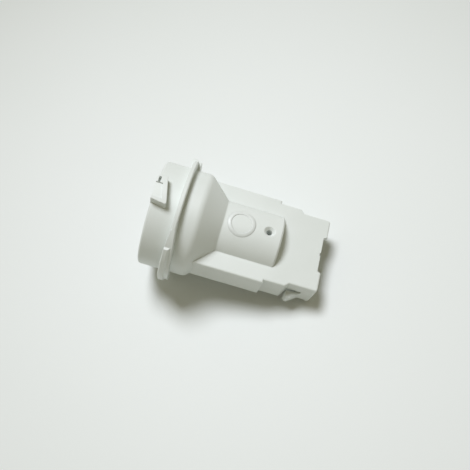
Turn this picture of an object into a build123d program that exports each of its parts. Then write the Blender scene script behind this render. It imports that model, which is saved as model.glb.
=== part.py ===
from build123d import *
import os
from math import atan2, cos, radians, sin, sqrt, tan

os.makedirs("parts", exist_ok=True)

# Refrigerator lamp holder for a small Edison screw lamp. Millimetres, +Z up.
# X is the lamp axis and runs from the lamp side to the wiring side.
# The origin is on the lamp axis, in the faces of the flange's stops, which meet the panel.

# Collar that goes through the panel; the drum behind the flange has the same radius
collar_radius = 15.0
collar_length = 6.5
collar_wall = 1.6
rim_round = 0.4

# Two lugs on the collar, which lock the holder in the panel with a part turn
lug_height = 2.3
lug_gap_entry = 4.0
lug_gap_locked = 2.1
lug_lead = 3.1
lug_length = 8.0
lug_skew = 0.6
lug_round = 0.5
lug_bar = 1.3
lug_recess_depth = 0.3
lug_recess_lead = 2.6
lug_slit_width = 0.6
lug_slit_length = 1.7
lug_slit_inset = 0.45
lug_slit_depth = 1.2

# Flange, with a thick stop at each side that rests on the panel
flange_width = 2.3
flange_front = 0.75
flange_thickness = 1.25
flange_round = 0.25
stop_thickness = 2.8
stop_rise = 0.6
stop_up = 7.5
stop_rise_up = 10.6
stop_ramp = 6.5
stop_down = 8.0
stop_round = 0.35
stop_slope_length = 1.4
stop_slope_drop = 1.6

# Drum and cone behind the flange
drum_length = 4.9
cone_length = 6.3
shoulder_round = 2.4
cone_round = 0.6
body_wall = 1.6

# Lamp screw shell, for a 14 mm screw cap
thread_radius = 7.0
shell_sheet = 0.35
shell_length = 11.8
shell_lip = 0.25
shell_bend = 0.35
shell_seat_width = 2.2
shell_clearance = 0.15

# Barrel round the shell, with the contact chamber in its closed end
barrel_wall = 1.7
barrel_length = 16.8
barrel_bevel = 0.45
chamber_depth = 3.6
partition = 1.8
sight_radius = 0.8
sight_sink_radius = 1.6
sight_inset = 3.8

# Plate with skirts along both sides of the barrel
plate_top = 4.5
plate_thickness = 1.5
skirt_drop = 8.6
skirt_thickness = 1.4
wing_step = 0.9
wing_end = 28.2
rib_thickness = 1.2
rib_lift = 0.8
rib_count = 3
edge_round = 0.45

# Wiring block at the rear
block_end = 34.2
jog_width = 1.1
jog_length = 1.1
block_rear = 43.3
block_wall = 1.3
socket_clearance = 1.5
rim_depth = 1.3
rim_drop = 0.6
corner_round = 0.6
notch_half = 5.2
notch_flare = 0.5
notch_depth = 1.05
keyway_half = 0.4
keyway_depth = 0.3
barrier_half = 0.5
barrier_length = 6.0

# Snap finger in a window of each side wall
window_length = 4.4
window_top = 0.6
finger_top = -0.2
finger_lift = 0.3
finger_root = 1.1
finger_heel = 0.8
finger_bend = 1.7
finger_step = 0.1
finger_gap = 0.2
finger_nose = 2.2
nose_corner = 0.6
nose_flat = 0.6
finger_round = 0.3

# Tab terminals
tab_width = 6.3
tab_thickness = 0.8
tab_centre = 5.25
tab_end_gap = 1.7
tab_taper = 1.0
tab_hole_radius = 0.8
tab_hole_inset = 4.0
neck_width = 2.2
centre_neck_margin = 2.2
shell_neck_shift = 0.2
shoulder_length = 3.0
slot_clearance = 0.1

# Centre contact: hairpin leaf with a contact button, riveted to the foot of one terminal
foot_margin = 2.0
leaf_sheet = 0.3
leaf_width = 2.6
fold_radius = 0.75
fold_margin = 1.15
arm_lean = 15
arm_past_axis = 1.5
button_radius = 1.15
button_height = 0.7
button_bevel = 0.35
button_shank_radius = 0.5
button_tail_radius = 0.8
button_tail_height = 0.25
leaf_rivet_radius = 0.45
leaf_rivet_head = 0.7
leaf_rivet_head_height = 0.3
leaf_rivet_clearance = 0.1

# Rivets that hold the shell on its seat
shell_rivet_radius = 0.5
shell_rivet_head = 0.7
shell_rivet_head_height = 0.25
shell_rivet_length = 3.0
shell_rivet_clearance = 0.05
shell_foot_drop = 1.6

# Places that follow from the sizes above
flange_radius = collar_radius + flange_width
flange_rear = flange_front + flange_thickness
cone_start = flange_rear + drum_length
cone_end = cone_start + cone_length
shell_radius = thread_radius + shell_sheet
bore_radius = shell_radius + shell_clearance
chamber_radius = thread_radius - shell_seat_width
barrel_radius = bore_radius + barrel_wall
barrel_end = cone_end + barrel_length
chamber_end = barrel_end - partition
shell_seat = chamber_end - chamber_depth
shell_front = shell_seat - shell_length
skirt_bottom = plate_top - skirt_drop
rim_bottom = skirt_bottom - rim_drop
socket_top = plate_top - plate_thickness
socket_bottom = skirt_bottom + block_wall
socket_half = tab_centre + tab_width / 2 + socket_clearance
mouth_half = socket_half + block_wall
block_half = mouth_half + jog_width
wing_half = block_half + wing_step
mouth_start = block_end + jog_length
window_rear = mouth_start + window_length
shell_rivet_ring = thread_radius - shell_bend - shell_rivet_head - shell_rivet_clearance
shell_rivet_z = -(tab_thickness + shell_foot_drop) / 2
shell_rivet_y = sqrt(shell_rivet_ring**2 - shell_rivet_z**2)
shell_neck = shell_rivet_y + shell_neck_shift
foot_drop = chamber_radius - tab_thickness / 2 - foot_margin
leaf_rivet_z = -(tab_thickness + foot_drop) / 2
centre_neck = chamber_radius - centre_neck_margin
tab_end = block_rear - tab_end_gap
shoulder_start = barrel_end + slot_clearance
foot_front = chamber_end - tab_thickness
fold_x = foot_front - fold_radius
fold_centre = chamber_radius - fold_radius - fold_margin
fold_mid = fold_radius - leaf_sheet / 2


def revolved(points):
    """Solid of revolution about the lamp axis from a closed outline of (x, radius) points."""
    return revolve(make_face(Polyline(*points, close=True)), Axis.X, 360)


def ring(start, end, inner, outer):
    """Tube along the lamp axis."""
    return revolved([(start, inner), (end, inner), (end, outer), (start, outer)])


def rod(start, end, radius, y=0.0, z=0.0):
    """Round rod along the lamp axis, at the given place across it."""
    turned = Rotation(0, 90, 0) * Cylinder(radius, end - start, align=(Align.CENTER, Align.CENTER, Align.MIN))
    return Pos(start, y, z) * turned


def block(low, high):
    """Box between two corners."""
    size = [b - a for a, b in zip(low, high)]
    return Pos(*low) * Box(*size, align=(Align.MIN, Align.MIN, Align.MIN))


def prism(points, bottom, top):
    """Upright prism on a closed outline of (x, y) points."""
    outline = make_face(Polyline(*points, close=True))
    return Pos(0, 0, bottom) * extrude(outline, top - bottom, dir=(0, 0, 1))


def both_sides(solid):
    """The solid and its mirror image across the lamp axis."""
    return solid + mirror(solid, Plane.XZ)


def rounded(face, corner, radius):
    """The flat face with the corner nearest to a point rounded."""
    return fillet(face.vertices().sort_by_distance(corner)[0], radius)


def bevelled(face, corner, size):
    """The flat face with the corner nearest to a point cut off."""
    return chamfer(face.vertices().sort_by_distance(corner)[0], size)


def body_outline():
    """Collar, flange, drum, cone and barrel as one turned outline, with its edges broken."""
    points = [
        (-collar_length, 0),
        (-collar_length, collar_radius - rim_round),
        (-collar_length + rim_round, collar_radius),
        (flange_front, collar_radius),
        (flange_front, flange_radius - flange_round),
        (flange_front + flange_round, flange_radius),
        (flange_rear - flange_round, flange_radius),
        (flange_rear, flange_radius - flange_round),
        (flange_rear, collar_radius),
        (cone_start, collar_radius),
        (cone_end, barrel_radius),
        (barrel_end, barrel_radius),
        (barrel_end, 0),
    ]
    face = make_face(Polyline(*points, close=True))
    face = rounded(face, (cone_start, collar_radius), shoulder_round)
    face = rounded(face, (cone_end, barrel_radius), cone_round)
    face = bevelled(face, (barrel_end, barrel_radius), barrel_bevel)
    return revolve(face, Axis.X, 360)


def plan_outline():
    """Outline of the plate seen from above, from inside the drum's wall to the rear."""
    half = [
        (cone_start - body_wall / 2, wing_half),
        (wing_end, wing_half),
        (wing_end, block_half),
        (block_end, block_half),
        (mouth_start, mouth_half),
        (block_rear, mouth_half),
    ]
    near = [(x, -y) for x, y in half]
    return near + [(x, y) for x, y in reversed(half)]


def plate():
    """Flat plate with its skirts as a solid, edges rounded as moulded."""
    slab = prism(plan_outline(), skirt_bottom, plate_top)
    corners = slab.edges().filter_by(Axis.Z).group_by(Axis.X)[-1]
    slab = fillet(corners, corner_round)
    top = slab.faces().sort_by(Axis.Z)[-1]
    front = top.edges().sort_by(Axis.X)[0]
    return fillet([e for e in top.edges() if e != front], edge_round)


def mouth_rim():
    """Deeper rim round the wiring mouth, which leaves a corner post at each side."""
    low = (block_rear - rim_depth, -mouth_half, rim_bottom)
    rim = block(low, (block_rear, mouth_half, skirt_bottom + block_wall))
    return fillet(rim.edges().filter_by(Axis.Z).group_by(Axis.X)[-1], corner_round)


def lamp_space():
    """Inside of the collar, the cone and the screw bore, down to the chamber's end."""
    half_turn = atan2(collar_radius - barrel_radius, cone_length) / 2
    shift = body_wall * tan(half_turn)
    points = [
        (-collar_length - 1, 0),
        (-collar_length - 1, collar_radius - collar_wall),
        (0, collar_radius - collar_wall),
        (cone_start - shift, collar_radius - body_wall),
        (cone_end - shift, bore_radius),
        (shell_seat, bore_radius),
        (shell_seat, chamber_radius),
        (chamber_end, chamber_radius),
        (chamber_end, 0),
    ]
    return revolved(points)


def wing_pockets():
    """Hollows under the plate, between the barrel and each skirt, with cross ribs left in."""
    pocket_start = cone_start + body_wall
    pocket_end = wing_end - skirt_thickness
    inner_half = wing_half - skirt_thickness
    low = (pocket_start, 0, skirt_bottom - 1)
    high = (pocket_end, inner_half, plate_top - plate_thickness)
    pocket = block(low, high)
    pitch = (pocket_end - cone_end) / (rib_count + 1)
    for i in range(rib_count):
        x = cone_end + (i + 1) * pitch
        low = (x - rib_thickness / 2, 0, skirt_bottom + rib_lift)
        pocket -= block(low, (x + rib_thickness / 2, inner_half, plate_top))
    solid_core = revolved(
        [
            (0, 0),
            (0, collar_radius),
            (cone_start, collar_radius),
            (cone_end, barrel_radius),
            (barrel_end, barrel_radius),
            (barrel_end, 0),
        ]
    )
    return both_sides(pocket - solid_core)


def wiring_socket():
    """Hollow for the wiring plug, with a barrier between the two tabs."""
    low = (barrel_end, -socket_half, socket_bottom)
    hollow = block(low, (block_rear + 1, socket_half, socket_top))
    low = (barrel_end, -barrier_half, socket_bottom)
    hollow -= block(low, (barrel_end + barrier_length, barrier_half, socket_top))
    return hollow + rear_notch()


def rear_notch():
    """Flared notch in the rear edge of the plate, with a small keyway in its middle."""
    start = block_rear - notch_depth
    wide = notch_half + notch_flare
    flare = [(start, -notch_half), (block_rear, -wide), (block_rear, wide), (start, notch_half)]
    keyway = block((start - keyway_depth, -keyway_half, 0), (start, keyway_half, plate_top + 1))
    return prism(flare, 0, plate_top + 1) + keyway


def neck_slot(start, neck, drop):
    """Slot in the partition for the neck of a tab, with room for its foot."""
    half = neck_width / 2 + slot_clearance
    thick = tab_thickness / 2 + slot_clearance
    slot = block((start, neck - half, -thick), (barrel_end + 1, neck + half, thick))
    return slot + block((start, neck - half, -thick - drop), (start + tab_thickness, neck + half, thick))


def rivet_holes():
    """Blind holes for the shell's rivets, and a pocket for the rear head of the leaf's rivet."""
    radius = shell_rivet_radius + shell_rivet_clearance
    end = shell_seat + shell_rivet_length
    holes = rod(shell_seat, end, radius, shell_rivet_y, shell_rivet_z)
    holes += rod(shell_seat, end, radius, -shell_rivet_y, shell_rivet_z)
    pocket_end = chamber_end + leaf_rivet_head_height + leaf_rivet_clearance
    pocket_radius = leaf_rivet_head + leaf_rivet_clearance
    return holes + rod(chamber_end, pocket_end, pocket_radius, -centre_neck, leaf_rivet_z)


def sight_hole():
    """Small countersunk hole in the top of the barrel, into the contact chamber."""
    x = barrel_end - sight_inset
    bottom = (Align.CENTER, Align.CENTER, Align.MIN)
    through = Cylinder(sight_radius, barrel_radius + 1, align=bottom)
    sink_depth = sight_sink_radius - sight_radius
    sink = Cone(sight_radius, sight_sink_radius + 1, sink_depth + 1, align=bottom)
    return Pos(x, 0, 0) * through + Pos(x, 0, barrel_radius - sink_depth) * sink


def collar_lug():
    """Locking lug on top of the collar, with a ramp that draws the flange to the panel."""
    rim, top = -collar_length, collar_radius + lug_height
    far, near = lug_lead, lug_lead - lug_length
    points = [
        (rim, far - lug_skew),
        (-lug_gap_entry, far),
        (-lug_gap_locked, near),
        (rim, near + lug_skew),
    ]
    lug = prism(points, 0, top + 1)
    lug = fillet(lug.edges().filter_by(Axis.Z).sort_by(Axis.X)[-1], lug_round)
    lug &= ring(rim, 0, collar_radius - collar_wall / 2, top)
    return lug - lug_recess() - lug_slit()


def lug_recess():
    """Shallow recess in the lug's top, which leaves a bar along its ramp and one at its near end."""
    top = collar_radius + lug_height
    slope = (lug_gap_entry - lug_gap_locked) / lug_length
    start, end = lug_recess_lead, lug_length - lug_bar
    side = -lug_gap_entry - lug_bar
    points = [
        (-collar_length - 1, lug_lead - start),
        (side + start * slope, lug_lead - start),
        (side + end * slope, lug_lead - end),
        (-collar_length - 1, lug_lead - end),
    ]
    band = ring(-collar_length - 1, 0, top - lug_recess_depth, top + 1)
    return prism(points, 0, top + 1) & band


def lug_slit():
    """Narrow slit in the lug's top, beside the collar's rim."""
    start = -collar_length + lug_slit_inset
    end = lug_lead - lug_skew - lug_slit_inset / 2
    top = collar_radius + lug_height
    low = (start, end - lug_slit_length, top - lug_slit_depth)
    return block(low, (start + lug_slit_width, end, top + 1))


def panel_stop():
    """Thick stop at the near side of the flange, with a ramp at its upper end."""
    outline = [
        (0, -stop_down),
        (0, stop_up),
        (flange_front, stop_up + stop_ramp),
        (flange_rear, stop_up + stop_ramp),
        (stop_thickness, stop_up),
        (stop_thickness, -stop_down),
    ]
    radius = flange_radius + stop_rise
    inner = collar_radius - collar_wall / 2
    profile = [
        (0, inner),
        (0, radius - stop_round),
        (stop_round, radius),
        (stop_thickness - stop_slope_length, radius),
        (stop_thickness, radius - stop_slope_drop),
        (stop_thickness, inner),
    ]
    side_view = make_face(Plane.XZ * Polyline(*outline, close=True))
    side = extrude(side_view, radius + 1, dir=(0, -1, 0))
    raised = block((0, -radius - 1, -stop_down), (stop_thickness, 0, stop_rise_up))
    stop = ring(0, stop_thickness, inner, flange_radius)
    stop += revolved(profile) & raised
    return side & stop


def side_window():
    """Window in each side wall of the wiring block, open to below."""
    low = (mouth_start, socket_half, skirt_bottom - 1)
    return both_sides(block(low, (window_rear, mouth_half + 1, window_top)))


def snap_finger():
    """Springy finger at the near window: rooted at the rear, with a barb in front."""
    nose = mouth_half + finger_nose
    tip = mouth_start + finger_gap
    root = window_rear + block_wall / 2
    points = [
        (root, -mouth_half + finger_root),
        (window_rear - finger_heel, -mouth_half + finger_root),
        (window_rear - finger_bend, -mouth_half - finger_step),
        (tip, -mouth_half - finger_step),
        (tip, -nose + nose_corner),
        (tip + nose_corner, -nose),
        (tip + nose_corner + nose_flat, -nose),
        (window_rear, -mouth_half),
        (root, -mouth_half),
    ]
    finger = prism(points, skirt_bottom + finger_lift, finger_top)
    upright = finger.edges().filter_by(Axis.Z).group_by(Axis.X)
    return fillet([e for group in upright[:-2] for e in group], finger_round)


def housing():
    """White moulding: collar, flange, drum, cone, barrel, plate and wiring block in one piece."""
    body = body_outline() + plate() + mouth_rim()
    body -= wing_pockets()
    body -= lamp_space()
    body += collar_lug() + Rotation(180, 0, 0) * collar_lug()
    body += panel_stop() + Rotation(180, 0, 0) * panel_stop()
    body -= wiring_socket() + rivet_holes() + sight_hole()
    body -= neck_slot(foot_front, -centre_neck, 0) + neck_slot(shell_seat, shell_neck, shell_foot_drop)
    body -= side_window()
    body += both_sides(snap_finger())
    return body


def screw_shell():
    """Lamp screw shell: sheet tube with a flared lip and a seat that is turned in."""
    points = [
        (shell_front, thread_radius + shell_lip),
        (shell_front + shell_lip * 2, thread_radius),
        (shell_seat - shell_sheet, thread_radius),
        (shell_seat - shell_sheet, chamber_radius),
        (shell_seat, chamber_radius),
        (shell_seat, shell_radius),
        (shell_front + shell_lip * 2, shell_radius),
        (shell_front, bore_radius),
    ]
    face = make_face(Polyline(*points, close=True))
    face = bevelled(face, (shell_seat - shell_sheet, thread_radius), shell_bend)
    face = bevelled(face, (shell_seat, shell_radius), shell_bend + shell_sheet * (2 - sqrt(2)))
    shell = revolve(face, Axis.X, 360)
    hole_radius = shell_rivet_radius + shell_rivet_clearance
    for side in (-1, 1):
        shell -= rod(shell_seat - 1, shell_seat + 1, hole_radius, side * shell_rivet_y, shell_rivet_z)
    return shell


def blade(centre, neck, neck_start):
    """Flat tab with a tapered end and a hole, stepped down to the neck that goes forward."""
    thick = tab_thickness / 2
    low, high = centre - tab_width / 2, centre + tab_width / 2
    neck_low, neck_high = neck - neck_width / 2, neck + neck_width / 2
    points = [
        (shoulder_start, low),
        (tab_end - tab_taper, low),
        (tab_end, low + tab_taper),
        (tab_end, high - tab_taper),
        (tab_end - tab_taper, high),
        (shoulder_start, high),
    ]
    strip = prism(points, -thick, thick)
    strip += block((neck_start, neck_low, -thick), (shoulder_start + shoulder_length, neck_high, thick))
    hole = Cylinder(tab_hole_radius, tab_thickness * 2)
    return strip - Pos(tab_end - tab_hole_inset, centre, 0) * hole


def foot(face_front, neck, drop):
    """Foot turned down at the front end of a neck, as thick as the tab."""
    half = neck_width / 2
    low = (face_front, neck - half, -tab_thickness / 2 - drop)
    return block(low, (face_front + tab_thickness, neck + half, tab_thickness / 2))


def centre_terminal():
    """Tab terminal of the centre contact, with its foot on the chamber's end wall."""
    strip = blade(-tab_centre, -centre_neck, foot_front) + foot(foot_front, -centre_neck, foot_drop)
    return strip - rod(foot_front - 1, chamber_end + 1, leaf_rivet_radius, -centre_neck, leaf_rivet_z)


def shell_terminal():
    """Tab terminal of the screw shell, with its foot under the shell's seat."""
    strip = blade(tab_centre, shell_neck, shell_seat) + foot(shell_seat, shell_neck, shell_foot_drop)
    hole_radius = shell_rivet_radius + shell_rivet_clearance
    return strip - rod(shell_seat - 1, shell_seat + 2, hole_radius, shell_rivet_y, shell_rivet_z)


def shell_rivets():
    """Two rivets that hold the shell's seat, one of them through the terminal's foot."""
    head_seat = shell_seat - shell_sheet
    shank_end = shell_seat + shell_rivet_length - 2 * shell_rivet_clearance
    rivets = []
    for side in (-1, 1):
        y = side * shell_rivet_y
        shank = rod(head_seat, shank_end, shell_rivet_radius, y, shell_rivet_z)
        head = rod(head_seat - shell_rivet_head_height, head_seat, shell_rivet_head, y, shell_rivet_z)
        rivets.append(shank + head)
    return Compound(rivets)


def leaf_rivet():
    """Small rivet that holds the leaf on its terminal's foot."""
    front = foot_front - leaf_sheet
    place = (-centre_neck, leaf_rivet_z)
    rivet = rod(front - leaf_rivet_head_height, front, leaf_rivet_head, *place)
    rivet += rod(front, chamber_end, leaf_rivet_radius, *place)
    return rivet + rod(chamber_end, chamber_end + leaf_rivet_head_height, leaf_rivet_head, *place)


def on_arm(solid):
    """Set a piece made along +X across the leaf's arm, on the lamp axis and facing the lamp."""
    lean = radians(arm_lean)
    x = fold_x - fold_mid * cos(lean) - tan(lean) * (fold_centre + fold_mid * sin(lean))
    return Pos(x, 0, 0) * Rotation(0, 0, 180 - arm_lean) * solid


def contact_leaf():
    """Springy hairpin leaf: foot, fold and the arm that carries the contact button."""
    lean = radians(arm_lean)
    foot_line = Line((fold_x + fold_mid, -centre_neck - neck_width / 2), (fold_x + fold_mid, fold_centre))
    turn = CenterArc((fold_x, fold_centre), fold_mid, 0, 180 - arm_lean)
    fold_end = turn @ 1
    reach = fold_end.Y + arm_past_axis
    arm_line = Line(fold_end, (fold_end.X - reach * tan(lean), -arm_past_axis))
    strip = make_face(offset(Wire([foot_line, turn, arm_line]), leaf_sheet / 2, side=Side.BOTH))
    leaf = Pos(0, 0, -leaf_width / 2) * extrude(strip, leaf_width, dir=(0, 0, 1))
    half = neck_width / 2
    low = (foot_front - leaf_sheet, -centre_neck - half, -tab_thickness / 2 - foot_drop)
    leaf += block(low, (foot_front, -centre_neck + half, 0))
    leaf -= rod(foot_front - 1, foot_front + 1, leaf_rivet_radius, -centre_neck, leaf_rivet_z)
    return leaf - on_arm(rod(-1, 1, button_shank_radius))


def contact_button():
    """Riveted contact button on the leaf's arm, with a bevelled face towards the lamp."""
    front = leaf_sheet / 2
    head = rod(front, front + button_height, button_radius)
    rim = head.edges().sort_by(Axis.X)[-1]
    head = chamfer(rim, button_bevel)
    shank = rod(-front, front, button_shank_radius)
    tail = rod(-front - button_tail_height, -front, button_tail_radius)
    return on_arm(head + shank + tail)


sub_parts = {
    "housing": housing,
    "screw_shell": screw_shell,
    "shell_rivets": shell_rivets,
    "shell_terminal": shell_terminal,
    "centre_terminal": centre_terminal,
    "leaf_rivet": leaf_rivet,
    "contact_leaf": contact_leaf,
    "contact_button": contact_button,
}
for name, make in sub_parts.items():
    export_step(make(), f"parts/{name}.step")
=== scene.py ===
"""Looks of a moulded refrigerator lamp holder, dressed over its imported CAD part.

Everything is in metres in the part's own frame. X is the lamp axis and runs to the wiring side,
Z is square to the flat plate, and the origin is in the flange face that meets the panel.
"""

import logging
import math
from dataclasses import dataclass, field
from enum import Enum
from typing import Any

import bpy
import numpy as np
from mathutils import Matrix, Vector


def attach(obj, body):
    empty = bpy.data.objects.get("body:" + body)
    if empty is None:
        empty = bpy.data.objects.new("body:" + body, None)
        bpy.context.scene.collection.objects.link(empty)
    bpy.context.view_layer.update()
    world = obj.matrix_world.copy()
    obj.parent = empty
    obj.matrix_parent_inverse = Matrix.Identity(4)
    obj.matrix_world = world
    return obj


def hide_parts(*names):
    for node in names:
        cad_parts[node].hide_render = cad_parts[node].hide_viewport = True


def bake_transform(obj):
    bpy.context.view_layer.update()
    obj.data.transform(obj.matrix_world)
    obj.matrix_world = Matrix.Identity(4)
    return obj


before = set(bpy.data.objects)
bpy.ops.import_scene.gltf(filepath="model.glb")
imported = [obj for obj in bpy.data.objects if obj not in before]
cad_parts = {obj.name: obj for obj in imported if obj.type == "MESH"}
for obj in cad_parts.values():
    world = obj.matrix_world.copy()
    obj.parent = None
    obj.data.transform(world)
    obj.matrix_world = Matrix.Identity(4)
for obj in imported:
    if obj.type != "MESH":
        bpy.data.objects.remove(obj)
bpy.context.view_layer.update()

MM = 0.001
HOLDER = "holder"

log = logging.getLogger("lamp_holder")


class Slot(Enum):
    """Material slots of the record."""

    MOULDING = "moulding"
    SHELL = "shell_brass"
    LEAF = "leaf_bronze"


class Side(Enum):
    """Which way round the faces of a patch run."""

    OUT = 1
    IN = -1


def linear(colour: str) -> tuple[float, float, float, float]:
    """Turns an sRGB hex colour into linear RGBA.

    Args:
        colour: Six hex digits after a hash sign.

    Returns:
        Linear red, green and blue, and an alpha of 1.
    """
    parts = np.array([int(colour[i : i + 2], 16) for i in (1, 3, 5)]) / 255.0
    low = parts / 12.92
    high = ((parts + 0.055) / 1.055) ** 2.4
    red, green, blue = np.where(parts <= 0.04045, low, high)
    return float(red), float(green), float(blue), 1.0


def per_metre(size_mm: float) -> float:
    """Texture scale whose features repeat about every size_mm on Object coordinates."""
    return 1.0 / (size_mm * MM)


def add_node(tree: Any, kind: str, inputs: dict | None = None, **settings: Any) -> Any:
    """Adds one shader node, sets it up and links it.

    Args:
        tree: Node tree that gets the node.
        kind: The node's type name.
        inputs: Input socket name or number, with the value or output socket it gets.
        settings: Attributes of the node itself.

    Returns:
        The new node.
    """
    made = tree.nodes.new(kind)
    for name, value in settings.items():
        setattr(made, name, value)
    for socket, value in (inputs or {}).items():
        if isinstance(value, bpy.types.NodeSocket):
            tree.links.new(value, made.inputs[socket])
        else:
            made.inputs[socket].default_value = value
    return made


def empty_material(name: str) -> tuple[Any, Any, Any]:
    """Makes a material with an empty tree.

    Args:
        name: The material's name.

    Returns:
        The material, its node tree and its output node.
    """
    material = bpy.data.materials.new(name)
    material.use_nodes = True
    tree = material.node_tree
    tree.nodes.clear()
    return material, tree, add_node(tree, "ShaderNodeOutputMaterial")


@dataclass(frozen=True)
class MouldedThermoplastic:
    """White PBT as moulded: an even, slightly cool white with a soft sheen and a fine eroded grain.

    The mould's spark-eroded grain is about 0.05 mm in life and is drawn at 0.25 mm so that it shows.
    The melt's flow leaves a shallow unevenness about 2 mm wide, and the mould's edges a small radius.
    """

    name: str = "white_moulded_pbt"
    colour: str = "#E5E9E6"
    shade: str = "#DEE3DF"
    roughness: float = 0.42
    roughness_spread: float = 0.08
    ior: float = 1.55
    cloud_mm: float = 9.0
    cloud_detail: float = 3.0
    grain_mm: float = 0.25
    grain_depth_mm: float = 0.004
    flow_mm: float = 2.2
    flow_depth_mm: float = 0.012
    edge_mm: float = 0.28
    edge_samples: int = 4
    glow: float = 0.15
    glow_mm: float = 0.7

    def build(self) -> Any:
        """Builds the material: two close whites clouded together, uneven gloss and two bumps.

        Returns:
            The material.
        """
        material, tree, output = empty_material(self.name)
        place = add_node(tree, "ShaderNodeTexCoord").outputs["Object"]
        cloud = add_node(
            tree,
            "ShaderNodeTexNoise",
            {"Vector": place, "Scale": per_metre(self.cloud_mm), "Detail": self.cloud_detail},
        )
        tint = add_node(tree, "ShaderNodeValToRGB", {"Fac": cloud.outputs["Fac"]})
        tint.color_ramp.elements[0].color = linear(self.shade)
        tint.color_ramp.elements[1].color = linear(self.colour)
        gloss = add_node(
            tree,
            "ShaderNodeMapRange",
            {
                "Value": cloud.outputs["Fac"],
                "To Min": self.roughness - self.roughness_spread,
                "To Max": self.roughness + self.roughness_spread,
            },
        )
        grain_scale, flow_scale = per_metre(self.grain_mm), per_metre(self.flow_mm)
        grain = add_node(tree, "ShaderNodeTexNoise", {"Vector": place, "Scale": grain_scale})
        flow = add_node(tree, "ShaderNodeTexNoise", {"Vector": place, "Scale": flow_scale})
        edges = add_node(tree, "ShaderNodeBevel", {"Radius": self.edge_mm * MM}, samples=self.edge_samples)
        wave = add_node(
            tree,
            "ShaderNodeBump",
            {
                "Height": flow.outputs["Fac"],
                "Distance": self.flow_depth_mm * MM,
                "Normal": edges.outputs["Normal"],
            },
        )
        bump = add_node(
            tree,
            "ShaderNodeBump",
            {
                "Height": grain.outputs["Fac"],
                "Distance": self.grain_depth_mm * MM,
                "Normal": wave.outputs["Normal"],
            },
        )
        surface = add_node(
            tree,
            "ShaderNodeBsdfPrincipled",
            {
                "Base Color": tint.outputs["Color"],
                "Roughness": gloss.outputs["Result"],
                "IOR": self.ior,
                "Subsurface Weight": self.glow,
                "Subsurface Radius": (self.glow_mm, self.glow_mm, self.glow_mm),
                "Subsurface Scale": MM,
                "Normal": bump.outputs["Normal"],
            },
        )
        tree.links.new(surface.outputs["BSDF"], output.inputs["Surface"])
        return material


@dataclass(frozen=True)
class SheetMetal:
    """Stamped or rolled sheet metal: fine drawing lines along X and a slightly clouded, dulled face.

    The rolling lines are about 0.02 mm wide in life and are drawn at 0.12 mm so that they show.
    """

    name: str
    colour: str
    shade: str
    roughness: float
    gloss_spread: float = 0.25
    cloud_mm: float = 2.5
    cloud_detail: float = 4.0
    shade_below: float = 0.3
    colour_above: float = 0.7
    line_mm: float = 0.12
    line_length_mm: float = 6.0
    line_depth_mm: float = 0.003
    line_detail: float = 2.0

    def build(self) -> Any:
        """Builds the material: clouded tarnish in the colour, and long thin lines in gloss and bump.

        Returns:
            The material.
        """
        material, tree, output = empty_material(self.name)
        place = add_node(tree, "ShaderNodeTexCoord").outputs["Object"]
        cloud = add_node(
            tree,
            "ShaderNodeTexNoise",
            {"Vector": place, "Scale": per_metre(self.cloud_mm), "Detail": self.cloud_detail},
        )
        ramp = add_node(tree, "ShaderNodeValToRGB", {"Fac": cloud.outputs["Fac"]})
        ramp.color_ramp.elements[0].position = self.shade_below
        ramp.color_ramp.elements[0].color = linear(self.shade)
        ramp.color_ramp.elements[1].position = self.colour_above
        ramp.color_ramp.elements[1].color = linear(self.colour)
        stretch = (self.line_mm / self.line_length_mm, 1.0, 1.0)
        drawn = add_node(tree, "ShaderNodeMapping", {"Vector": place, "Scale": stretch})
        lines = add_node(
            tree,
            "ShaderNodeTexNoise",
            {
                "Vector": drawn.outputs["Vector"],
                "Scale": per_metre(self.line_mm),
                "Detail": self.line_detail,
            },
        )
        gloss = add_node(
            tree,
            "ShaderNodeMapRange",
            {
                "Value": lines.outputs["Fac"],
                "To Min": self.roughness * (1 - self.gloss_spread),
                "To Max": self.roughness * (1 + self.gloss_spread),
            },
        )
        bump = add_node(
            tree,
            "ShaderNodeBump",
            {"Height": lines.outputs["Fac"], "Distance": self.line_depth_mm * MM},
        )
        surface = add_node(
            tree,
            "ShaderNodeBsdfPrincipled",
            {
                "Base Color": ramp.outputs["Color"],
                "Metallic": 1.0,
                "Roughness": gloss.outputs["Result"],
                "Normal": bump.outputs["Normal"],
            },
        )
        tree.links.new(surface.outputs["BSDF"], output.inputs["Surface"])
        return material


# Thin nickel over brass: pale straw, fairly bright
NICKELLED_BRASS = SheetMetal("nickelled_brass_shell", "#D8CDB0", "#C2B48E", 0.30)
# Dip-tinned brass: a greyish white, the dullest of them
TINNED_BRASS = SheetMetal("tinned_brass_tab", "#D9D6CC", "#C4C0B2", 0.34)
# Bare phosphor bronze: warm copper brown
SPRING_BRONZE = SheetMetal("spring_bronze", "#D9A777", "#BE8654", 0.28)
# Bare brass as turned: the yellowest and brightest
TURNED_BRASS = SheetMetal("turned_brass", "#DCC58A", "#C4A768", 0.26)


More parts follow.
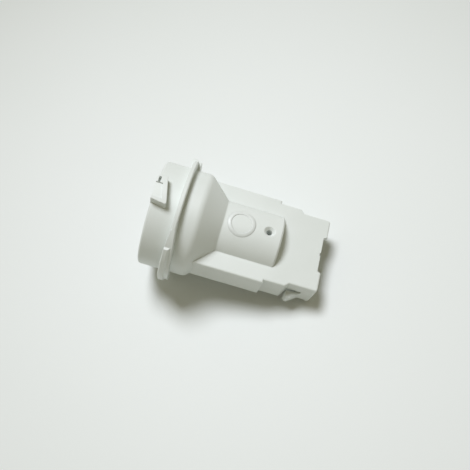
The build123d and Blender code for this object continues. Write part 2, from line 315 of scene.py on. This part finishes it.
@dataclass(frozen=True)
class TableSheet:
    """Matt white table top, which is clear from below so that low views aren't blocked."""

    name: str = "matt_white_table"
    colour: str = "#E8EBEA"
    shade: str = "#E5E9E7"
    roughness: float = 0.62
    cloud_mm: float = 70.0
    cloud_detail: float = 2.0

    def build(self) -> Any:
        """Builds the material: a faintly clouded white on top and nothing from below.

        Returns:
            The material.
        """
        material, tree, output = empty_material(self.name)
        place = add_node(tree, "ShaderNodeTexCoord").outputs["Object"]
        cloud = add_node(
            tree,
            "ShaderNodeTexNoise",
            {"Vector": place, "Scale": per_metre(self.cloud_mm), "Detail": self.cloud_detail},
        )
        ramp = add_node(tree, "ShaderNodeValToRGB", {"Fac": cloud.outputs["Fac"]})
        ramp.color_ramp.elements[0].color = linear(self.shade)
        ramp.color_ramp.elements[1].color = linear(self.colour)
        surface = add_node(
            tree,
            "ShaderNodeBsdfPrincipled",
            {"Base Color": ramp.outputs["Color"], "Roughness": self.roughness},
        )
        clear = add_node(tree, "ShaderNodeBsdfTransparent")
        below = add_node(tree, "ShaderNodeNewGeometry").outputs["Backfacing"]
        chosen = add_node(
            tree,
            "ShaderNodeMixShader",
            {0: below, 1: surface.outputs["BSDF"], 2: clear.outputs["BSDF"]},
        )
        tree.links.new(chosen.outputs["Shader"], output.inputs["Surface"])
        return material


@dataclass
class Skin:
    """Collects grids of points into one mesh."""

    points: list[np.ndarray] = field(default_factory=list)
    faces: list[list[int]] = field(default_factory=list)
    count: int = 0
    sharp_deg: float = 35.0

    def patch(
        self, grid: np.ndarray, around: bool = True, along: bool = False, side: Side = Side.OUT
    ) -> np.ndarray:
        """Adds a grid of points as four-sided faces.

        Args:
            grid: Points in metres, with shape (rows, columns, 3).
            around: Whether the last column joins the first.
            along: Whether the last row joins the first.
            side: Which way round the faces run.

        Returns:
            The points' numbers, with shape (rows, columns).
        """
        rows, columns = grid.shape[:2]
        own = np.arange(rows * columns).reshape(rows, columns) + self.count
        index = np.vstack([own, own[:1]]) if along else own
        index = np.hstack([index, index[:, :1]]) if around else index
        corners = [index[:-1, :-1], index[:-1, 1:], index[1:, 1:], index[1:, :-1]]
        quads = np.stack(corners, axis=-1).reshape(-1, len(corners))
        self.faces.extend(quads[:, :: side.value].tolist())
        self.points.append(grid.reshape(-1, 3))
        self.count += rows * columns
        return own

    def cap(self, loop: np.ndarray, side: Side = Side.OUT) -> None:
        """Closes a loop of point numbers with one flat face."""
        self.faces.append(loop[:: side.value].tolist())

    def build(self, name: str, material: Any) -> Any:
        """Makes the mesh object, smooth except across sharp edges.

        Args:
            name: The object's name.
            material: The material it gets.

        Returns:
            The new object, at the origin.
        """
        mesh = bpy.data.meshes.new(name)
        mesh.from_pydata(np.concatenate(self.points), [], self.faces)
        mesh.materials.append(material)
        mesh.shade_smooth()
        mesh.set_sharp_from_angle(angle=math.radians(self.sharp_deg))
        made = bpy.data.objects.new(name, mesh)
        bpy.context.scene.collection.objects.link(made)
        log.info("%s: %d faces", name, len(mesh.polygons))
        return made


def turned(x: np.ndarray, radius: np.ndarray, steps: int) -> np.ndarray:
    """Turns a profile about the X axis: a point at angle a is (x, r cos a, r sin a).

    Args:
        x: Places along the axis, one per profile point.
        radius: Radii, one per profile point, or one per angle and profile point.
        steps: Number of angles round the full turn.

    Returns:
        Points with shape (steps, profile points, 3).
    """
    angle = np.linspace(0.0, 2 * math.pi, steps, endpoint=False)[:, None]
    wide = np.broadcast_to(radius, (steps, x.shape[-1]))
    return np.stack([np.broadcast_to(x, wide.shape), wide * np.cos(angle), wide * np.sin(angle)], axis=-1)


def smooth_step(value: np.ndarray, start: float, end: float) -> np.ndarray:
    """Rises from 0 at start to 1 at end along the curve 3t² - 2t³.

    Args:
        value: Where the curve is read.
        start: Value up to which it is 0.
        end: Value from which it is 1.

    Returns:
        The curve's height at each value.
    """
    share = np.clip((value - start) / (end - start), 0.0, 1.0)
    return share * share * (3 - 2 * share)


@dataclass
class ScrewShell:
    """Lamp screw shell: rolled round thread, a flared lip and a seat that is turned in."""

    front: float = 12.8
    seat: float = 24.6
    sheet: float = 0.35
    root: float = 7.0
    depth: float = 0.72
    pitch: float = 2.82
    lip: float = 0.25
    lip_length: float = 0.8
    lip_edge: float = 0.1
    thread_start: float = 0.5
    thread_full: float = 1.6
    thread_fade: float = 1.3
    thread_stop: float = 0.1
    seat_hole: float = 4.8
    bend: float = 0.35
    steps_round: int = 144
    steps_along: int = 110
    steps_bend: int = 8

    def _profile(self) -> tuple[np.ndarray, np.ndarray, np.ndarray]:
        """Works out the sheet's closed profile.

        The inner face runs back from the lip, turns in at the seat and returns along the outside.
        The thread fades in behind the lip and out before the seat's bend.

        Returns:
            Places along X, radii and how much of the thread each point takes.
        """
        back = self.seat - self.sheet - self.bend
        wall = np.linspace(self.front, back, self.steps_along)
        flare = self.lip * (1 - smooth_step(wall, self.front, self.front + self.lip_length))
        take = smooth_step(wall, self.front + self.thread_start, self.front + self.thread_full)
        take = take * (1 - smooth_step(wall, back - self.thread_fade, back - self.thread_stop))
        turn = np.linspace(0.0, math.pi / 2, self.steps_bend)[1:]
        inner_x = back + self.bend * np.sin(turn)
        inner_r = self.root - self.bend * (1 - np.cos(turn))
        outer_bend = self.bend + self.sheet
        outer_x = back + outer_bend * np.sin(turn[::-1])
        outer_r = self.root - self.bend + outer_bend * np.cos(turn[::-1])
        x = np.concatenate([wall, inner_x, [self.seat - self.sheet, self.seat], outer_x, wall[::-1]])
        hole = np.full(2, self.seat_hole)
        outer_wall = self.root + self.sheet + np.minimum(flare, self.lip - self.lip_edge)
        radius = np.concatenate([self.root + flare, inner_r, hole, outer_r, outer_wall[::-1]])
        thread = np.concatenate([take, np.zeros(len(turn) * 2 + 2), take[::-1]])
        return x, radius, thread

    def build(self, material: Any) -> Any:
        """Rolls the thread into the turned profile and replaces the plain tube.

        The radius is less by depth times half of (1 - cos(a - 2 pi x / pitch)), which is a
        right-handed round thread.

        Args:
            material: The shell's finish.

        Returns:
            The shell, riding on the holder.
        """
        x, radius, thread = self._profile()
        angle = np.linspace(0.0, 2 * math.pi, self.steps_round, endpoint=False)[:, None]
        wave = 0.5 * (1 - np.cos(angle - 2 * math.pi * x[None, :] / self.pitch))
        rolled = radius[None, :] - self.depth * wave * thread[None, :]
        skin = Skin()
        skin.patch(turned(x, rolled, self.steps_round) * MM, along=True, side=Side.IN)
        shell = skin.build("rolled_screw_shell", material)
        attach(shell, HOLDER)
        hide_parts("screw_shell")
        return shell


@dataclass
class HairpinLeaf:
    """Spring leaf of the centre contact: foot, hairpin fold and the arm under the button."""

    foot_face: float = 27.4
    sheet: float = 0.3
    half_width: float = 1.3
    fold_radius: float = 0.75
    fold_y: float = 2.9
    lean_deg: float = 15.0
    arm_end: float = -1.5
    foot_end: float = -3.7
    foot_low: float = -2.8
    foot_step: float = -1.5
    step_length: float = 0.5
    tip_share: float = 0.3
    edge: float = 0.06
    steps_straight: int = 40
    steps_fold: int = 30

    def _middle(self) -> tuple[np.ndarray, np.ndarray]:
        """Works out the strip's middle line in the XY plane.

        It is a straight foot, an arc about the fold and a straight arm that leans to the lamp.

        Returns:
            The line's points and its unit normals.
        """
        fold_x = self.foot_face - self.fold_radius
        mid = self.fold_radius - self.sheet / 2
        lean = math.radians(self.lean_deg)
        foot_y = np.linspace(self.foot_end, self.fold_y, self.steps_straight)
        foot = np.stack([np.full_like(foot_y, fold_x + mid), foot_y], axis=1)
        foot_normal = np.tile([1.0, 0.0], (len(foot), 1))
        turn = np.linspace(0.0, math.pi - lean, self.steps_fold)[1:]
        round_normal = np.stack([np.cos(turn), np.sin(turn)], axis=1)
        fold = np.array([fold_x, self.fold_y]) + mid * round_normal
        reach = np.linspace(0.0, 1.0, self.steps_straight)[1:, None]
        end_y = self.arm_end
        end = np.array([fold[-1, 0] - (fold[-1, 1] - end_y) * math.tan(lean), end_y])
        arm = fold[-1] + (end - fold[-1]) * reach
        arm_normal = np.tile(round_normal[-1], (len(arm), 1))
        normal = np.concatenate([foot_normal, round_normal, arm_normal])
        return np.concatenate([foot, fold, arm]), normal

    def build(self, material: Any) -> Any:
        """Carries a rounded strip section along the middle line.

        The section is half the sheet either way along the normal, and runs in Z between the lower
        and upper edge. The lower edge drops at the foot, and both draw in at the arm's round end.

        Args:
            material: The leaf's finish.

        Returns:
            The leaf.
        """
        middle, normal = self._middle()
        steps = np.linalg.norm(np.diff(middle, axis=0), axis=1)
        run = np.concatenate([[0.0], np.cumsum(steps)])
        left = np.clip((run[-1] - run) / self.half_width, 0.0, 1.0)
        upper = self.half_width * np.sqrt(np.clip(1 - (1 - left) ** 2, self.tip_share**2, 1.0))
        drop = 1 - smooth_step(middle[:, 1], self.foot_step, self.foot_step + self.step_length)
        drop = drop * (run < run[-1] / 2)
        lower = -upper + (self.foot_low + self.half_width) * drop
        half, edge = self.sheet / 2, self.edge
        thick = np.array([-half, -half, -half + edge, half - edge, half, half, half - edge, -half + edge])
        width = np.array([0.0, 1.0, 1.0, 1.0, 1.0, 0.0, 0.0, 0.0])
        inset = np.array([edge, -edge, 0.0, 0.0, -edge, edge, 0.0, 0.0])
        z = lower[:, None] + (upper - lower)[:, None] * width + inset
        flat = middle[:, None, :] + normal[:, None, :] * thick[None, :, None]
        skin = Skin()
        rings = skin.patch(np.concatenate([flat, z[:, :, None]], axis=2) * MM)
        skin.cap(rings[0], Side.IN)
        skin.cap(rings[-1])
        leaf = skin.build("spring_leaf", material)
        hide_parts("contact_leaf")
        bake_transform(leaf)
        return leaf


@dataclass
class BarrelMarks:
    """Moulded marks on the housing: a plain low rim on the barrel and the gate's small stub."""

    barrel_radius: float = 9.2
    barrel_end: float = 30.0
    ring_x: float = 18.2
    ring_radius: float = 2.75
    ring_wall: float = 0.22
    ring_crest: float = 0.1
    ring_slope: float = 1.3
    ring_height: float = 0.13
    ring_steps: int = 96
    ring_slope_steps: int = 9
    sunk: float = 0.04
    stub_z: float = -6.4
    stub_radius: float = 0.75
    stub_height: float = 0.25
    stub_rim: float = 0.12
    stub_steps: int = 32
    stub_rim_steps: int = 6

    def raised_ring(self, material: Any) -> Any:
        """Bends a low round rim onto the barrel's top.

        The rim rises gently from outside and drops steeply inside, so the plain disc within it
        looks sunk. A flat rim's distance across the barrel becomes an angle about the axis, and
        its height is added to the barrel's radius.

        Args:
            material: The housing's finish.

        Returns:
            The rim, riding on the holder.
        """
        turn = np.linspace(0.0, 2 * math.pi, self.ring_steps, endpoint=False)[:, None]
        share = np.linspace(0.0, 1.0, self.ring_slope_steps)
        rise = smooth_step(share, 0.0, 1.0)
        brow = self.ring_radius + self.ring_wall
        reach = np.concatenate(
            [brow + self.ring_crest + self.ring_slope * (1 - share), brow - self.ring_wall * share]
        )
        height = (self.ring_height + self.sunk) * np.concatenate([rise, 1 - rise]) - self.sunk
        along = self.ring_x + reach * np.cos(turn)
        across = reach * np.sin(turn) / self.barrel_radius
        radius = self.barrel_radius + height + 0 * turn
        grid = np.stack([along, radius * np.sin(across), radius * np.cos(across)], axis=-1)
        skin = Skin()
        skin.patch(grid * MM, along=True)
        ring = skin.build("barrel_ring", material)
        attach(ring, HOLDER)
        return ring

    def gate_stub(self, material: Any) -> Any:
        """Sets a low trimmed stub on the barrel's end: a turned profile with a rounded rim.

        Args:
            material: The housing's finish.

        Returns:
            The stub, riding on the holder.
        """
        round_off = np.linspace(0.0, math.pi / 2, self.stub_rim_steps)
        rim = self.stub_rim
        x = np.concatenate([[-self.sunk], self.stub_height - rim + rim * np.sin(round_off)])
        radius = np.concatenate([[self.stub_radius], self.stub_radius - rim + rim * np.cos(round_off)])
        grid = turned(self.barrel_end + x, radius, self.stub_steps) + np.array([0.0, 0.0, self.stub_z])
        skin = Skin()
        rings = skin.patch(np.transpose(grid, (1, 0, 2)) * MM)
        skin.cap(rings[-1])
        skin.cap(rings[0], Side.IN)
        stub = skin.build("gate_stub", material)
        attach(stub, HOLDER)
        return stub


@dataclass
class CarriedNodes:
    """CAD nodes that keep their shape and get a finish here."""

    moulding: Any
    tinned: Any
    rivet: Any

    def dress(self) -> None:
        """Puts each finish on its nodes."""
        finishes = {
            "housing": self.moulding,
            "shell_terminal": self.tinned,
            "centre_terminal": self.tinned,
            "shell_rivets": self.rivet,
            "leaf_rivet": self.rivet,
            "contact_button": self.rivet,
        }
        for name, material in finishes.items():
            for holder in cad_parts[name].material_slots:
                holder.material = material
            log.info("%s: %s", name, material.name)


@dataclass
class Studio:
    """Table, lights and the photograph's camera."""

    table_tilt_deg: float = 16.1
    table_touch: tuple[float, float] = (1.9, -17.3)
    table_reach: float = 300.0
    camera_place: tuple[float, float, float] = (10.754, -68.398, 144.543)
    camera_aim: tuple[float, float, float] = (17.650, 0.302, 0.103)
    camera_roll_deg: float = 21.73
    camera_near: float = 2.0
    sensor_width: float = 36.0
    lens: float = 42.66
    light_aim: tuple[float, float, float] = (38.0, -14.0, 0.0)
    sky: str = "#FFF8D6"
    sky_strength: float = 0.255
    wall: str = "#D9DCD9"
    key_travel: tuple[float, float, float] = (0.46, -0.26, -0.85)
    key_distance: float = 650.0
    key_size: float = 260.0
    key_spread_deg: float = 70.0
    key: str = "#F5F8FF"
    key_watts: float = 0.58

    def table(self) -> Any:
        """Lays a wide flat sheet under the points that the holder rests on.

        Returns:
            The sheet.
        """
        tilt = math.radians(self.table_tilt_deg)
        side = np.array([-self.table_reach, 0.0, self.table_reach])
        run, across = np.meshgrid(side, side, indexing="ij")
        x = self.table_touch[0] + run * math.cos(tilt)
        z = self.table_touch[1] + run * math.sin(tilt)
        skin = Skin()
        skin.patch(np.stack([x, across, z], axis=-1) * MM, around=False, side=Side.IN)
        sheet = skin.build("table_top", TableSheet().build())
        return sheet

    def _aim(self, made: Any, place: Vector, towards: Vector, roll: float) -> None:
        """Points an object's -Z axis along a direction, with its X axis level and then rolled.

        Args:
            made: The object.
            place: Where it goes, in metres.
            towards: The direction that it looks in.
            roll: Turn about that direction, in radians.
        """
        ahead = towards.normalized()
        level = ahead.cross(Vector((0, 0, 1))).normalized()
        upright = level.cross(ahead)
        right = level * math.cos(roll) + upright * math.sin(roll)
        up = upright * math.cos(roll) - level * math.sin(roll)
        turn = Matrix((right, up, -ahead)).transposed().to_4x4()
        made.matrix_world = Matrix.Translation(place) @ turn

    def camera(self) -> Any:
        """Sets up the camera where the photograph was taken from.

        Returns:
            The camera.
        """
        data = bpy.data.cameras.new("photo_camera")
        data.lens = self.lens
        data.sensor_width = self.sensor_width
        data.sensor_fit = "HORIZONTAL"
        data.clip_start = self.camera_near * MM
        made = bpy.data.objects.new("photo_camera", data)
        bpy.context.scene.collection.objects.link(made)
        place = Vector(self.camera_place) * MM
        ahead = Vector(self.camera_aim) * MM - place
        self._aim(made, place, ahead, math.radians(self.camera_roll_deg))
        bpy.context.scene.camera = made
        return made

    def lights(self) -> None:
        """Hangs one soft source on the lamp side under a pale sky.

        Only the camera sees the plain wall behind the table; everything else is lit by the sky.
        """
        data = bpy.data.lights.new("key_light", "AREA")
        data.shape = "DISK"
        data.size = self.key_size * MM
        data.energy = self.key_watts
        data.spread = math.radians(self.key_spread_deg)
        data.color = linear(self.key)[:3]
        made = bpy.data.objects.new("key_light", data)
        bpy.context.scene.collection.objects.link(made)
        travel = Vector(self.key_travel).normalized()
        place = Vector(self.light_aim) * MM - travel * (self.key_distance * MM)
        self._aim(made, place, travel, 0.0)
        world = bpy.data.worlds.new("pale_sky")
        world.use_nodes = True
        tree = world.node_tree
        tree.nodes.clear()
        output = add_node(tree, "ShaderNodeOutputWorld")
        fill = add_node(
            tree, "ShaderNodeBackground", {"Color": linear(self.sky), "Strength": self.sky_strength}
        )
        wall = add_node(tree, "ShaderNodeBackground", {"Color": linear(self.wall)})
        direct = add_node(tree, "ShaderNodeLightPath").outputs["Is Camera Ray"]
        chosen = add_node(
            tree,
            "ShaderNodeMixShader",
            {0: direct, 1: fill.outputs["Background"], 2: wall.outputs["Background"]},
        )
        tree.links.new(chosen.outputs["Shader"], output.inputs["Surface"])
        bpy.context.scene.world = world
        bpy.context.scene.view_settings.view_transform = "Standard"


def main() -> None:
    """Builds the finishes, the pieces and the studio in order."""
    logging.basicConfig(level=logging.INFO, format="%(name)s %(message)s")
    white = MouldedThermoplastic().build()
    CarriedNodes(white, TINNED_BRASS.build(), TURNED_BRASS.build()).dress()
    ScrewShell().build(NICKELLED_BRASS.build())
    HairpinLeaf().build(SPRING_BRONZE.build())
    marks = BarrelMarks()
    marks.raised_ring(white)
    marks.gate_stub(white)
    studio = Studio()
    studio.table()
    studio.camera()
    studio.lights()


if __name__ == "__main__":
    main()
